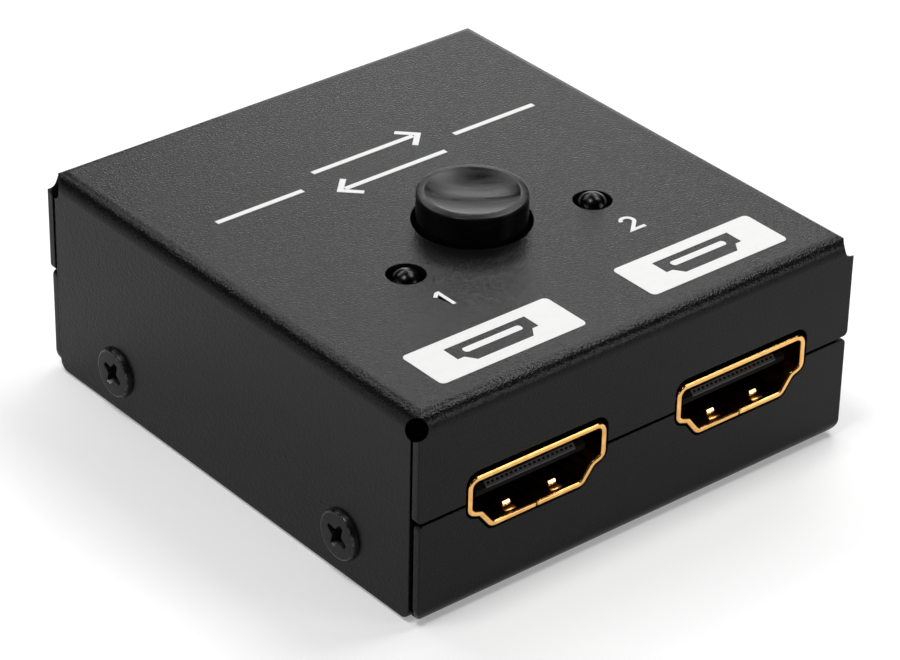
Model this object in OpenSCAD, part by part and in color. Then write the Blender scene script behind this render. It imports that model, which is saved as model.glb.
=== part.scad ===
// Two-way video switch box: folded sheet case, three video ports, one push button, two indicators.
// Origin: middle of the footprint, on the table. Front faces -Y, +X is right, +Z is up.

/* [Case] */
// Width of the case, left to right
case_w = 48.6; // [48:0.1:60]
// Depth of the case, front to rear
case_d = 52.4; // [50:0.1:70]
// Height of the case without its button
case_h = 20.2; // [19.4:0.1:26]
// Thickness of the coated sheet
sheet_t = 0.8; // [0.6:0.1:1.1]
// Inner radius of every bend in the sheet
bend_in = 0.75; // [0.5:0.05:1.1]
// Open seam between two neighbouring sheet edges
seam = 0.25; // [0.15:0.05:0.5]
// Radius of the relief hole through each top corner
relief_r = 0.95; // [0.8:0.05:1.1]
// Depth of the relief's centre under the top
relief_drop = 0.9; // [0.7:0.05:1]
// Lift of the side panels above the table
panel_lift = 0.2; // [0.1:0.05:0.5]
// Radius at the side panels' lower corners
panel_corner_r = 1; // [0.4:0.1:2]
// Radius at the tray flanges' lower corners
tray_corner_r = 1.6; // [0.6:0.1:2.4]
// Radius at the flanges' corners beside the seam
seam_corner_r = 0.5; // [0.2:0.1:1]
// Step back of the tray flanges' ends from the cover's
tray_step = 0.2; // [0.1:0.05:0.5]
// Sliding room between the tray and the side panels
tray_fit = 0.15; // [0.1:0.05:0.3]

/* [Case screws] */
// Distance of the screws from the middle, front to rear
screw_y = 16.2; // [12:0.1:18]
// Height of the screws above the table
screw_z = 4.1; // [4:0.1:6]
// Thread diameter of the screws
screw_d = 3; // [2.5:0.5:3.5]
// Length of the screws under the head
screw_len = 4; // [3.6:0.1:4.4]
// Diameter of the screw heads
head_d = 4.8; // [4.4:0.1:6]
// Height of the screw heads
head_h = 0.5; // [0.4:0.1:1]
// Width of the ears that take the screws
ear_w = 9; // [7:0.5:12]

/* [Ports] */
// Distance between the two front ports
port_pitch = 23; // [21:0.1:23.6]
// Height of the ports' middle above the table
port_z = 9.7; // [9.4:0.1:10.6]
// Width of a port's opening
port_open_w = 14; // [13.6:0.1:14.4]
// Height of a port's opening
port_open_h = 4.55; // [4.4:0.05:4.8]
// Wall of the port shells
port_wall = 0.5; // [0.3:0.05:0.6]
// Length of the port shells
port_len = 11; // [10:0.1:12]
// How far the shells stand out of the case
port_proud = 0.1; // [0.05:0.05:0.6]
// Gap between a shell and its cut-out in the case
port_gap = 0.2; // [0.15:0.05:0.4]
// Further room above a shell in its cut-out
port_head = 0.35; // [0.1:0.05:0.6]
// How far the tongue sits behind the mouth
tongue_back = 1; // [0.6:0.1:2]
// Thickness of the tongue
tongue_t = 1.2; // [1:0.05:1.4]
// Distance between neighbouring contacts of one row
contact_pitch = 1; // [0.9:0.05:1.1]

/* [Button] */
// Place of the button, front to rear
button_y = -3.5; // [-5:0.1:-2]
// Diameter of the button cap
cap_d = 9.9; // [9.6:0.1:12]
// Height of the cap's rim above the case
cap_up = 2.8; // [2.4:0.1:5]
// Length of the cap inside the case
cap_down = 2.8; // [2:0.1:3.2]
// Gap round the cap in its hole
cap_gap = 0.4; // [0.2:0.05:0.8]
// Diameter of the dish in the cap's top
dish_d = 8.4; // [7:0.1:8.6]
// Depth of the dish
dish_depth = 0.55; // [0.3:0.05:0.9]
// Radius along the cap's upper edge
cap_edge_r = 0.4; // [0.2:0.05:0.5]
// Travel of the button
press = 2; // [1.4:0.1:2.4]
// Width of the push switch
switch_w = 8; // [7.6:0.1:9]
// Width of the switch's square stem
stem_w = 3.2; // [2.8:0.1:3.4]

/* [Indicators] */
// Distance of each indicator from the middle, left to right
led_x = 10.5; // [9:0.1:13]
// Place of the indicators, front to rear
led_y = -7.4; // [-9:0.1:-5]
// Diameter of the indicator lenses
led_d = 3; // [2.6:0.1:3.4]
// Length of the indicator lenses
led_len = 5.3; // [4.6:0.1:6]
// Gap round each lens in its hole
led_gap = 0.25; // [0.15:0.05:0.4]
// Height of the left lens above the case
led_up_1 = 0.4; // [0.1:0.1:1]
// Height of the right lens above the case
led_up_2 = 0.7; // [0.1:0.1:1]

/* [Board] */
// Thickness of the circuit board
board_t = 1.6; // [1.2:0.1:1.8]
// Gap from the board's edges to the case and its screws
board_gap = 0.5; // [0.3:0.1:0.7]
// Diameter of the standoffs
standoff_d = 5; // [4.4:0.1:5.4]
// Thread diameter of the board screws
board_screw_d = 2; // [1.6:0.2:2.4]
// Width of the signal switch chip
chip_w = 7; // [6:0.5:7.5]

/* [Hidden] */
$fn = 64;

coat = "#2c2c2e";
gold = "#d8a24a";
black_plastic = "#141416";
steel = "#b9babd";
tin = "#cfcfd2";

// Margin by which a cutter runs past the faces that it cuts
over = 1;
// Clearance of parts that are pressed or threaded together
snug = 0.03;
// Running clearance between the moving and the fixed parts
slide_gap = 0.1;

// Sheet case
bend_r = sheet_t + bend_in;
seam_z = case_h / 2;
cover_flange_z = seam_z + seam / 2;
tray_flange_h = seam_z - seam / 2;
panel_len = case_d - 2 * (sheet_t + seam);
relief_in = sheet_t / 2;
relief_len = 3;
relief_tilt = acos(1 / sqrt(3));
floor_x = case_w / 2 - sheet_t - tray_fit;
tray_flange_w = case_w - 2 * tray_step;
ear_trim = 0.5;
ear_h = screw_z + ear_w / 2 - ear_trim;
ear_corner_r = 2;
ear_slot = 0.5;
collar_len = 1;
collar_wall = 0.7;
screw_hole_gap = 0.2;
head_bevel = 0.15;
cross_len_share = 0.8;
cross_w_share = 0.36;
cross_depth_share = 0.35;

// Ports: half sizes of the opening's outline, and the corner radii along it
port_half_w = port_open_w / 2;
port_half_h = port_open_h / 2;
port_side_h = 2.7;
port_step_w = 1.05;
port_step_h = 0.35;
port_slope_w = 1.15;
port_shoulder_z = port_half_h - port_side_h;
port_shoulder_w = port_half_w - port_step_w;
port_floor_w = port_shoulder_w - port_slope_w;
port_top_r = 0.55;
port_side_r = 0.4;
port_neck_r = 1;
port_neck_least_r = 0.15;
port_floor_r = 0.5;
port_mouth_y = case_d / 2 + port_proud;
port_back_y = port_mouth_y - port_len;
seam_slot = 0.12;
finger_w = 1.25;
finger_x = 2.5;
finger_tip = 0.5;
finger_ramp = 0.6;
finger_flat = 0.7;
finger_root = 5;
finger_rise = 0.2;
dimple_foot_r = 0.5;
dimple_top_r = 0.2;
dimple_h = 0.3;
finger_t = 0.25;
finger_slot = 0.2;
leg_w = 1.4;
leg_t = 0.4;
leg_in = 0.1;
leg_front = 3;
leg_rear_in = 2.2;
leg_places = [leg_front, port_len - leg_rear_in];
lead_out = 0.8;
tongue_side = 1;
tongue_half_w = port_half_w - tongue_side;
tongue_mid = 0.35;
tongue_chamfer = 0.35;
tongue_root = 0.5;
block_len = 3.5;
block_front = port_len - block_len;
contact_w = 0.36;
contact_t = 0.12;
contact_start = 0.6;
upper_contacts = 10;
lower_contacts = 9;
tail_gap = 0.3;
foot_len = 0.9;

// Circuit board
board_top = port_z - port_half_h - port_wall;
board_z = board_top - board_t;
board_w = case_w - 2 * (screw_len + board_gap);
board_d = case_d - 2 * (sheet_t + board_gap);
board_corner_r = 1;
board_hole_in = 2.6;
hole_x = board_w / 2 - board_hole_in;
board_hole_rear = 4;
board_hole_front = 6;
hole_rear_y = board_d / 2 - board_hole_rear;
hole_front_y = board_hole_front - port_back_y;
board_head_d = 2 * board_screw_d;
board_head_h = 1.3;
board_screw_bite = 2.6;
board_screw_len = board_t + board_screw_bite;
spigot_step = 0.7;
spigot_d = standoff_d - 2 * spigot_step;
pin_hole_gap = 0.15;
chip_y = 7.4;
chip_h = 1;
chip_lift = 0.1;
chip_lead_count = 12;
chip_lead_pitch = 0.5;
chip_lead_w = 0.22;
chip_lead_t = 0.15;
chip_foot = 1;
row_count = 4;
row_part_len = 1.6;
row_part_w = 0.8;
resistor_h = 0.45;
resistor_out = 4;
capacitor_h = 0.8;
capacitor_out = 7;

// Push switch, stacked up from the board and down from the cap
cap_r = cap_d / 2;
cap_top = case_h + cap_up;
cap_bottom = case_h - cap_down;
cap_wall = 1;
cap_crown = 1.2;
cap_post_wall = 0.7;
cap_post_r = stem_w / sqrt(2) + cap_post_wall;
cap_roof = cap_top - dish_depth - cap_crown;
dish_r = dish_d / 2;
dish_ball_r = (dish_r * dish_r + dish_depth * dish_depth) / (2 * dish_depth);
press_room = 0.4;
switch_top = cap_bottom - press - press_room;
switch_wall = 0.7;
switch_base_h = 2;
switch_base_top = board_top + switch_base_h;
housing_roof = 0.8;
skirt_bottom = switch_base_top + press + press_room;
skirt_top = switch_top - housing_roof - slide_gap;
skirt_share = 0.3;
skirt_roof = skirt_share * (skirt_top - skirt_bottom);
terminal_w = 0.6;
terminal_t = 0.3;
terminal_pitch = 2.5;
terminal_in = 0.3;
terminal_x = switch_w / 2 - switch_wall - terminal_in;
wiper_t = 0.25;
wiper_h = skirt_share * (skirt_top - skirt_bottom);
terminal_top = skirt_bottom + wiper_h + slide_gap;
skirt_x = terminal_x - terminal_t / 2 - 2 * slide_gap - wiper_t;
skirt_y = switch_w / 2 - switch_wall - slide_gap;
spring_r = 1.2;
spring_wire = 0.34;
spring_turns = 4.5;
spring_room = 0.2;
spring_pocket_r = spring_r + spring_wire / 2 + spring_room;
spring_foot = switch_base_top;
spring_roof = skirt_top - skirt_roof;

// Indicators
led_rim = 0.4;
led_rim_d = led_d + 2 * led_rim;
led_rim_h = 1;
led_pitch = 2.54;
led_lead_w = 0.5;

// Outline helpers
function unit(v) = v / norm(v);
function outward(a, b) = [unit(b - a)[1], -unit(b - a)[0]];
function before(pts, i) = pts[(i + len(pts) - 1) % len(pts)];
function after(pts, i) = pts[(i + 1) % len(pts)];

// Every edge of a counter-clockwise outline moved outward by d
function grown(pts, d) = [for (i = [0 : len(pts) - 1])
    let (m = outward(before(pts, i), pts[i]), n = outward(pts[i], after(pts, i)))
    pts[i] + d * (m + n) / (1 + m * n)];

// Arc of radius r that replaces corner b between its neighbours a and c
function corner_arc(a, b, c, r, steps = 5) =
    let (u = unit(a - b), v = unit(c - b), half = acos(u * v) / 2)
    let (mid = b + unit(u + v) * r / sin(half), p = u * r / tan(half) + b - mid)
    let (turn = (u[0] * v[1] - u[1] * v[0] > 0 ? -1 : 1) * (180 - 2 * half))
    [for (k = [0 : steps]) let (g = turn * k / steps)
        mid + [p[0] * cos(g) - p[1] * sin(g), p[0] * sin(g) + p[1] * cos(g)]];

function rounded(pts, radii) = [for (i = [0 : len(pts) - 1])
    each corner_arc(before(pts, i), pts[i], after(pts, i), radii[i])];

// Outline of a port's opening grown by d and raised at the top by head: left half down, right half up
function reversed(list) = [for (i = [len(list) - 1 : -1 : 0]) list[i]];
function port_outline(d, head = 0) =
    let (half = [[port_half_w, port_half_h + head], [port_half_w, port_shoulder_z],
        [port_shoulder_w, port_shoulder_z - port_step_h], [port_floor_w, -port_half_h]])
    let (radii = [port_top_r + d, port_side_r + d, max(port_neck_r - d, port_neck_least_r), port_floor_r + d])
    let (left = [for (p = half) [-p[0], p[1]]])
    rounded(grown(concat(left, reversed(half)), d), concat(radii, reversed(radii)));

// Solid helpers
module both_sides() {
    children();
    mirror([1, 0, 0]) children();
}

module both_ends() {
    children();
    mirror([0, 1, 0]) children();
}

// A drawing in x and z, made solid from y = 0 to y = depth
module into(depth) {
    translate([0, depth, 0]) rotate([90, 0, 0]) linear_extrude(depth) children();
}

// A drawing in y and z, made solid to both sides of x = 0
module across(width) {
    rotate([90, 0, 90]) linear_extrude(width, center = true) children();
}

// Waste of a corner of radius r at the origin, for a shape that lies in +x and +y
module corner_waste(r) {
    difference() {
        translate([-over, -over]) square(r + over);
        translate([r, r]) circle(r);
    }
}

// Edge view of the sheet: outer face on x = 0, bent inward at the top
module bent_edge(h) {
    square([sheet_t, h - bend_r]);
    translate([bend_r, h - bend_r]) intersection() {
        difference() {
            circle(bend_r);
            circle(bend_in);
        }
        translate([-bend_r, 0]) square(bend_r);
    }
}

// The same edge view, bent inward at the bottom
module bent_foot(h) {
    translate([0, h]) mirror([0, 1]) bent_edge(h);
}

// A port's place: the front pair and the one at the rear
module at_port(which) {
    if (which == 0) translate([0, port_mouth_y, port_z]) rotate(180) children();
    else translate([(which == 1 ? -1 : 1) * port_pitch / 2, -port_mouth_y, port_z]) children();
}

module port_cutters() {
    for (which = [0 : 2]) at_port(which)
        translate([0, -over, 0]) into(port_proud + sheet_t + 2 * over)
            polygon(port_outline(port_wall + port_gap, port_head));
}

module at_case_screws() {
    both_sides() for (y = [-screw_y, screw_y])
        translate([-case_w / 2, y, screw_z]) rotate([0, 90, 0]) children();
}

module at_board_holes() {
    both_sides() for (y = [hole_front_y, hole_rear_y]) translate([hole_x, y, 0]) children();
}

// Top cover: where the bends of panels and flanges meet, each follows the other's curve
module side_panel() {
    panel_h = case_h - panel_lift;
    difference() {
        translate([-case_w / 2, 0, panel_lift]) rotate([90, 0, 0])
            linear_extrude(panel_len, center = true) bent_edge(panel_h);
        both_ends() {
            translate([-case_w / 2 + sheet_t / 2, -panel_len / 2, panel_lift])
                across(sheet_t + 2 * over) corner_waste(panel_corner_r);
            translate([-case_w / 2 + bend_r / 2, -case_d / 2, case_h]) mirror([0, 0, 1])
                across(bend_r + 2 * over) corner_waste(bend_r);
        }
    }
}

module cover_flange() {
    difference() {
        translate([0, -case_d / 2, cover_flange_z]) across(case_w) bent_edge(case_h - cover_flange_z);
        both_sides() translate([-case_w / 2, -case_d / 2 - over, 0]) {
            translate([0, 0, cover_flange_z]) into(sheet_t + 2 * over) corner_waste(seam_corner_r);
            translate([0, 0, case_h]) mirror([0, 0, 1]) into(bend_r + 2 * over) corner_waste(bend_r);
        }
    }
}

// Hole along the diagonal of each top corner, where the bends would meet
module corner_reliefs() {
    both_sides() both_ends()
        translate([case_w / 2, case_d / 2 - relief_in, case_h - relief_drop])
            rotate([0, relief_tilt, 45]) cylinder(r = relief_r, h = 2 * relief_len, center = true);
}

module top_cover() {
    color(coat) difference() {
        union() {
            translate([0, 0, case_h - sheet_t / 2])
                cube([case_w - 2 * bend_r, case_d - 2 * bend_r, sheet_t], center = true);
            both_sides() side_panel();
            both_ends() cover_flange();
        }
        corner_reliefs();
        port_cutters();
        translate([0, button_y, case_h - sheet_t - over])
            cylinder(r = cap_r + cap_gap, h = sheet_t + 2 * over);
        for (x = [-led_x, led_x]) translate([x, led_y, case_h - sheet_t - over])
            cylinder(d = led_d + 2 * led_gap, h = sheet_t + 2 * over);
        at_case_screws() translate([0, 0, -over])
            cylinder(d = screw_d + 2 * screw_hole_gap, h = sheet_t + 2 * over);
    }
}

// Bottom tray
module tray_flange() {
    translate([0, -case_d / 2, 0]) across(2 * floor_x) bent_foot(tray_flange_h);
    intersection() {
        translate([0, -case_d / 2, 0]) across(tray_flange_w) bent_foot(tray_flange_h);
        translate([0, -case_d / 2, 0]) into(sheet_t) difference() {
            translate([-tray_flange_w / 2, 0]) square([tray_flange_w, tray_flange_h]);
            for (s = [0, 1]) mirror([s, 0]) translate([-tray_flange_w / 2, 0]) {
                corner_waste(tray_corner_r);
                translate([0, tray_flange_h]) mirror([0, 1]) corner_waste(seam_corner_r);
            }
        }
    }
}

module screw_ear(y) {
    difference() {
        union() {
            translate([-floor_x, y, 0]) rotate([90, 0, 0])
                linear_extrude(ear_w, center = true) bent_foot(ear_h);
            translate([-floor_x, y, screw_z]) rotate([0, 90, 0])
                cylinder(d = screw_d + 2 * collar_wall, h = sheet_t + collar_len);
        }
        for (s = [0, 1]) translate([-floor_x + sheet_t / 2, y, ear_h]) mirror([0, s, 0])
            translate([0, -ear_w / 2, 0]) mirror([0, 0, 1])
                across(sheet_t + 2 * over) corner_waste(ear_corner_r);
    }
}

module bottom_tray() {
    color(coat) difference() {
        union() {
            difference() {
                translate([0, 0, sheet_t / 2])
                    cube([2 * floor_x, case_d - 2 * bend_r, sheet_t], center = true);
                both_sides() for (y = [-screw_y, screw_y])
                    translate([floor_x - bend_r, y - ear_w / 2 - ear_slot, -over])
                        cube([bend_r + over, ear_w + 2 * ear_slot, sheet_t + 2 * over]);
            }
            both_ends() tray_flange();
            both_sides() for (y = [-screw_y, screw_y]) screw_ear(y);
        }
        port_cutters();
        at_case_screws() cylinder(d = screw_d + 2 * snug, h = screw_len + over);
        at_board_holes() translate([0, 0, -over])
            cylinder(d = spigot_d + 2 * snug, h = sheet_t + 2 * over);
    }
}

// Screw with its head's underside on z = 0 and its point along +z
module cross_screw(d, length, top_d, top_h, bevel) {
    difference() {
        union() {
            rotate_extrude() polygon([[0, -top_h], [top_d / 2 - bevel, -top_h],
                [top_d / 2, bevel - top_h], [top_d / 2, 0], [0, 0]]);
            cylinder(d = d, h = length);
        }
        for (turn = [0, 90]) rotate(turn + 45) translate([0, 0, -top_h - over])
            linear_extrude(cross_depth_share * d + over)
                square([cross_len_share * d, cross_w_share * d], center = true);
    }
}

module case_screws() {
    color("#1c1c1e") at_case_screws() cross_screw(screw_d, screw_len, head_d, head_h, head_bevel);
}

// Circuit board and what holds it
module circuit_board() {
    color("#1f5a35") difference() {
        translate([0, 0, board_z]) linear_extrude(board_t) difference() {
            square([board_w, board_d], center = true);
            for (s = [0, 1], t = [0, 1]) mirror([s, 0]) mirror([0, t])
                translate([-board_w / 2, -board_d / 2]) corner_waste(board_corner_r);
        }
        translate([0, 0, board_z - over]) {
            at_board_holes() cylinder(d = board_screw_d + 2 * pin_hole_gap, h = board_t + 2 * over);
            at_led_leads() cylinder(d = led_lead_w * sqrt(2) + 2 * pin_hole_gap, h = board_t + 2 * over);
            at_terminals() cylinder(d = terminal_w + 2 * pin_hole_gap, h = board_t + 2 * over);
        }
        for (which = [0 : 2]) at_port(which) translate([0, 0, board_z - port_z - over])
            at_legs() linear_extrude(board_t + 2 * over)
                square([leg_t + 2 * pin_hole_gap, leg_w + 2 * pin_hole_gap], center = true);
    }
}

module board_standoffs() {
    color(steel) at_board_holes() difference() {
        union() {
            translate([0, 0, sheet_t]) cylinder(d = standoff_d, h = board_z - sheet_t);
            translate([0, 0, snug]) cylinder(d = spigot_d, h = sheet_t);
        }
        translate([0, 0, board_top - board_screw_len - snug])
            cylinder(d = board_screw_d + 2 * snug, h = board_screw_len + over);
    }
}

module board_screws() {
    color(steel) at_board_holes() translate([0, 0, board_top]) mirror([0, 0, 1])
        cross_screw(board_screw_d, board_screw_len, board_head_d, board_head_h, head_bevel);
}

// Ports
module at_legs() {
    leg_x = port_half_w + port_wall - leg_in - leg_t / 2;
    both_sides() for (y = leg_places) translate([leg_x, y, 0]) children();
}

module spring_finger() {
    floor_z = -port_half_h;
    crest = finger_tip + finger_ramp;
    top = [[finger_tip, floor_z], [crest, floor_z + finger_rise],
        [crest + finger_flat, floor_z + finger_rise], [finger_root + port_wall, floor_z]];
    under = [for (i = [3 : -1 : 0]) top[i] - [0, finger_t]];
    across(finger_w) polygon(concat(top, under));
    translate([0, crest + finger_flat / 2, floor_z + finger_rise - finger_t / 2])
        cylinder(r1 = dimple_foot_r, r2 = dimple_top_r, h = dimple_h + finger_t / 2);
}

module port_shell(which) {
    leg_h = port_half_h + port_wall + board_t + lead_out;
    floor_cut_z = -port_half_h - port_wall - over;
    floor_cut_h = port_wall + 1.5 * over;
    color(gold) at_port(which) {
        difference() {
            into(port_len) difference() {
                polygon(port_outline(port_wall));
                polygon(port_outline(0));
            }
            translate([-seam_slot / 2, -over, floor_cut_z])
                cube([seam_slot, port_len + 2 * over, floor_cut_h]);
            both_sides() translate([finger_x - finger_w / 2 - finger_slot, finger_tip - finger_slot, floor_cut_z])
                cube([finger_w + 2 * finger_slot, finger_root + finger_slot - finger_tip, floor_cut_h]);
        }
        both_sides() translate([finger_x, 0, 0]) spring_finger();
        at_legs() translate([0, 0, -leg_h]) linear_extrude(leg_h + port_shoulder_z)
            square([leg_t, leg_w], center = true);
    }
}

module contact_row(count, z, away) {
    reach = port_len + tail_gap;
    for (i = [0 : count - 1]) translate([(i - (count - 1) / 2) * contact_pitch, 0, 0])
        across(contact_w) contact_profile(z, away, reach);
}

// Edge view of one contact: along the tongue, out at the back, down to the board and away
module contact_profile(z, away, reach) {
    board = board_top - port_z;
    translate([tongue_back + contact_start, z])
        square([reach + away + contact_t - tongue_back - contact_start, contact_t]);
    translate([reach + away, board]) square([contact_t, z + contact_t - board]);
    translate([reach + away, board]) square([foot_len, contact_t]);
}

module all_contacts() {
    contact_row(upper_contacts, tongue_mid + tongue_t / 2, contact_pitch / 2);
    contact_row(lower_contacts, tongue_mid - tongue_t / 2 - contact_t, 0);
}

module port_contacts(which) {
    color(gold) at_port(which) all_contacts();
}

module port_insulator(which) {
    low = tongue_mid - tongue_t / 2;
    high = tongue_mid + tongue_t / 2;
    root = block_front + tongue_root;
    color(black_plastic) at_port(which) difference() {
        union() {
            translate([0, block_front, 0]) into(port_len - block_front) polygon(port_outline(-snug));
            across(2 * tongue_half_w) polygon([[tongue_back + tongue_chamfer, low], [root, low],
                [root, high], [tongue_back + tongue_chamfer, high],
                [tongue_back, high - tongue_chamfer], [tongue_back, low + tongue_chamfer]]);
        }
        all_contacts();
    }
}

// Push switch
module at_terminals() {
    for (x = [-terminal_x, terminal_x], k = [-1 : 1])
        translate([x, button_y + k * terminal_pitch, 0]) children();
}

module switch_base() {
    color(black_plastic) difference() {
        translate([0, button_y, board_top + switch_base_h / 2])
            cube([switch_w, switch_w, switch_base_h], center = true);
        translate([0, 0, board_top - over]) at_terminals() linear_extrude(switch_base_h + 2 * over)
            square([terminal_t, terminal_w], center = true);
    }
}

module switch_housing() {
    inner = switch_w - 2 * switch_wall;
    color("#2a2a2c") translate([0, button_y, 0]) difference() {
        translate([0, 0, switch_base_top]) linear_extrude(switch_top - switch_base_top)
            square(switch_w, center = true);
        translate([0, 0, switch_base_top - over])
            linear_extrude(switch_top - housing_roof - switch_base_top + over) square(inner, center = true);
        translate([0, 0, switch_top - housing_roof - over])
            linear_extrude(housing_roof + 2 * over) square(stem_w + 2 * slide_gap, center = true);
    }
}

module switch_terminals() {
    color(tin) translate([0, 0, board_z - lead_out]) at_terminals()
        linear_extrude(terminal_top - board_z + lead_out) square([terminal_t, terminal_w], center = true);
}

module switch_plunger() {
    color("#e4e2da") translate([0, button_y, 0]) difference() {
        union() {
            translate([0, 0, skirt_bottom]) linear_extrude(skirt_top - skirt_bottom)
                square([2 * skirt_x, 2 * skirt_y], center = true);
            translate([0, 0, skirt_top]) linear_extrude(cap_roof - skirt_top) square(stem_w, center = true);
        }
        translate([0, 0, skirt_bottom - over])
            cylinder(r = spring_pocket_r, h = spring_roof - skirt_bottom + over);
    }
}

module switch_wipers() {
    color(gold) for (s = [0, 1]) mirror([s, 0, 0])
        translate([skirt_x, button_y - terminal_pitch - terminal_w / 2, skirt_bottom])
            cube([wiper_t, terminal_pitch + terminal_w, wiper_h]);
}

// Coil swept along a helix, its ends cut square to the wire
module switch_spring() {
    sides = 6;
    rings = 12 * spring_turns;
    low = spring_foot + spring_wire / 2 + snug;
    high = spring_roof - spring_wire / 2 - snug;
    points = [for (i = [0 : rings], k = [0 : sides - 1])
        let (turn = 360 * spring_turns * i / rings, g = 360 * k / sides)
        let (r = spring_r + spring_wire / 2 * cos(g))
        [r * cos(turn), r * sin(turn), low + (high - low) * i / rings + spring_wire / 2 * sin(g)]];
    walls = [for (i = [0 : rings - 1], k = [0 : sides - 1])
        let (a = i * sides + k, b = i * sides + (k + 1) % sides)
        each [[a, a + sides, b], [b, a + sides, b + sides]]];
    start = [for (k = [1 : sides - 2]) [0, k, k + 1]];
    end = [for (k = [1 : sides - 2]) [0, k + 1, k] + rings * sides * [1, 1, 1]];
    color(steel) translate([0, button_y, 0]) polyhedron(points, concat(walls, start, end));
}

module button_cap() {
    height = cap_top - cap_bottom;
    color("#101012") translate([0, button_y, cap_bottom]) difference() {
        rotate_extrude() difference() {
            square([cap_r, height]);
            translate([cap_r, height]) rotate(180) corner_waste(cap_edge_r);
            intersection() {
                translate([0, height - dish_depth + dish_ball_r]) circle(dish_ball_r, $fn = 128);
                translate([0, height - dish_depth]) square([dish_r, dish_depth + over]);
            }
            translate([cap_post_r, -over])
                square([cap_r - cap_wall - cap_post_r, cap_roof - cap_bottom + over]);
        }
        translate([0, 0, (cap_roof - cap_bottom - over) / 2])
            cube([stem_w + 2 * snug, stem_w + 2 * snug, cap_roof - cap_bottom + over], center = true);
    }
}

// Indicators
module at_led_leads() {
    for (x = [-led_x, led_x], s = [-1, 1]) translate([x + s * led_pitch / 2, led_y, 0]) children();
}

module led_lens(x, up) {
    r = led_d / 2;
    color("#3a3d40", 0.8) translate([x, led_y, case_h + up - led_len]) rotate_extrude() {
        square([led_rim_d / 2, led_rim_h]);
        square([r, led_len - r]);
        translate([0, led_len - r]) intersection() {
            circle(r);
            square(r);
        }
    }
}

module led_leads(x, up) {
    top = case_h + up - led_len;
    color(tin) for (s = [-1, 1]) translate([x + s * led_pitch / 2, led_y, board_z - lead_out])
        linear_extrude(top - board_z + lead_out) square(led_lead_w, center = true);
}

// Parts on the board
module signal_chip() {
    color("#1a1a1c") translate([0, chip_y, board_top + chip_lift + chip_h / 2])
        cube([chip_w, chip_w, chip_h], center = true);
}

// Gull-wing leads along the chip's four sides
module chip_leads() {
    shoulder = chip_lift + chip_h / 2;
    color(tin) translate([0, chip_y, board_top]) for (turn = [0 : 90 : 270], i = [0 : chip_lead_count - 1])
        rotate(turn) translate([(i - (chip_lead_count - 1) / 2) * chip_lead_pitch, chip_w / 2, 0])
            across(chip_lead_w) {
                translate([0, shoulder]) square([chip_foot / 2, chip_lead_t]);
                translate([chip_foot / 2 - chip_lead_t, 0]) square([chip_lead_t, shoulder + chip_lead_t]);
                translate([chip_foot / 2 - chip_lead_t, 0]) square([chip_foot / 2 + chip_lead_t, chip_lead_t]);
            }
}

// Rows of small parts on both sides of the chip
module chip_row(out, height) {
    for (s = [-1, 1], i = [0 : row_count - 1])
        translate([s * (chip_w / 2 + out), chip_y + (2 * i + 1 - row_count) * row_part_w, board_top])
            linear_extrude(height) square([row_part_len, row_part_w], center = true);
}

module chip_resistors() {
    color("#202024") chip_row(resistor_out, resistor_h);
}

module chip_capacitors() {
    color("#a9865a") chip_row(capacitor_out, capacitor_h);
}

top_cover();
bottom_tray();
case_screws();
circuit_board();
board_standoffs();
board_screws();
port_shell(1);  // port_shell_1
port_shell(2);  // port_shell_2
port_shell(0);  // port_shell_common
port_insulator(1);  // port_insulator_1
port_insulator(2);  // port_insulator_2
port_insulator(0);  // port_insulator_common
port_contacts(1);  // port_contacts_1
port_contacts(2);  // port_contacts_2
port_contacts(0);  // port_contacts_common
switch_base();
switch_housing();
switch_terminals();
switch_plunger();
switch_wipers();
switch_spring();
button_cap();
led_lens(-led_x, led_up_1);  // led_1_lens
led_lens(led_x, led_up_2);  // led_2_lens
led_leads(-led_x, led_up_1);  // led_1_leads
led_leads(led_x, led_up_2);  // led_2_leads
signal_chip();
chip_leads();
chip_resistors();
chip_capacitors();
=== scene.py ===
# %% [markdown]
# A two-way video switch box
#
# The object is a small black box of folded sheet, with two gold sockets in front, one behind, a round
# push button and two indicators on top. The engineering model arrives as a fixed frame: every piece is
# already at its place and size. This lesson gives the pieces their looks: rounded sheet edges, a sandy
# coat, plated sockets, a turned button, real screws and the white print.

# %% Load the frame
import math

import bmesh
import bpy
from mathutils import Matrix, Quaternion, Vector
from mathutils.bvhtree import BVHTree


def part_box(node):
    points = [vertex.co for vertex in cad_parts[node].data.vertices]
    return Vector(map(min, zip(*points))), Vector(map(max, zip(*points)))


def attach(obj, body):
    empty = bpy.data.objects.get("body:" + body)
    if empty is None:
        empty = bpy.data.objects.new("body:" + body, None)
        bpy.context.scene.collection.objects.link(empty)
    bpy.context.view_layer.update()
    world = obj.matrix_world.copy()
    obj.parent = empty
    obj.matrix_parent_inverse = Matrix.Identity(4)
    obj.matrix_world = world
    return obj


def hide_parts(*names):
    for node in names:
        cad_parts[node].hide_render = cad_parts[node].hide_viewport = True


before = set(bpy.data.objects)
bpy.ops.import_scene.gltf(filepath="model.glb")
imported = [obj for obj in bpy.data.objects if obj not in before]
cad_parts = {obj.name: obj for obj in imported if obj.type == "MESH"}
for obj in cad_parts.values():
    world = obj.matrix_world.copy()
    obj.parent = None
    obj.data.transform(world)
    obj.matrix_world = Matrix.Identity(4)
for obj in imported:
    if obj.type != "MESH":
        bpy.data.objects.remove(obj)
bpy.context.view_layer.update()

MM = 0.001

# %% [markdown]
# The camera stands where the picture was taken from: in front, to the left and well above the box, with a
# long lens. Its place was worked out from the box's own corners in the picture, so the sizes in the
# frame and the picture agree. It could be placed by eye, but then no edge would fall quite where it should.
# A long lens keeps the edges of the box nearly parallel.

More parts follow.
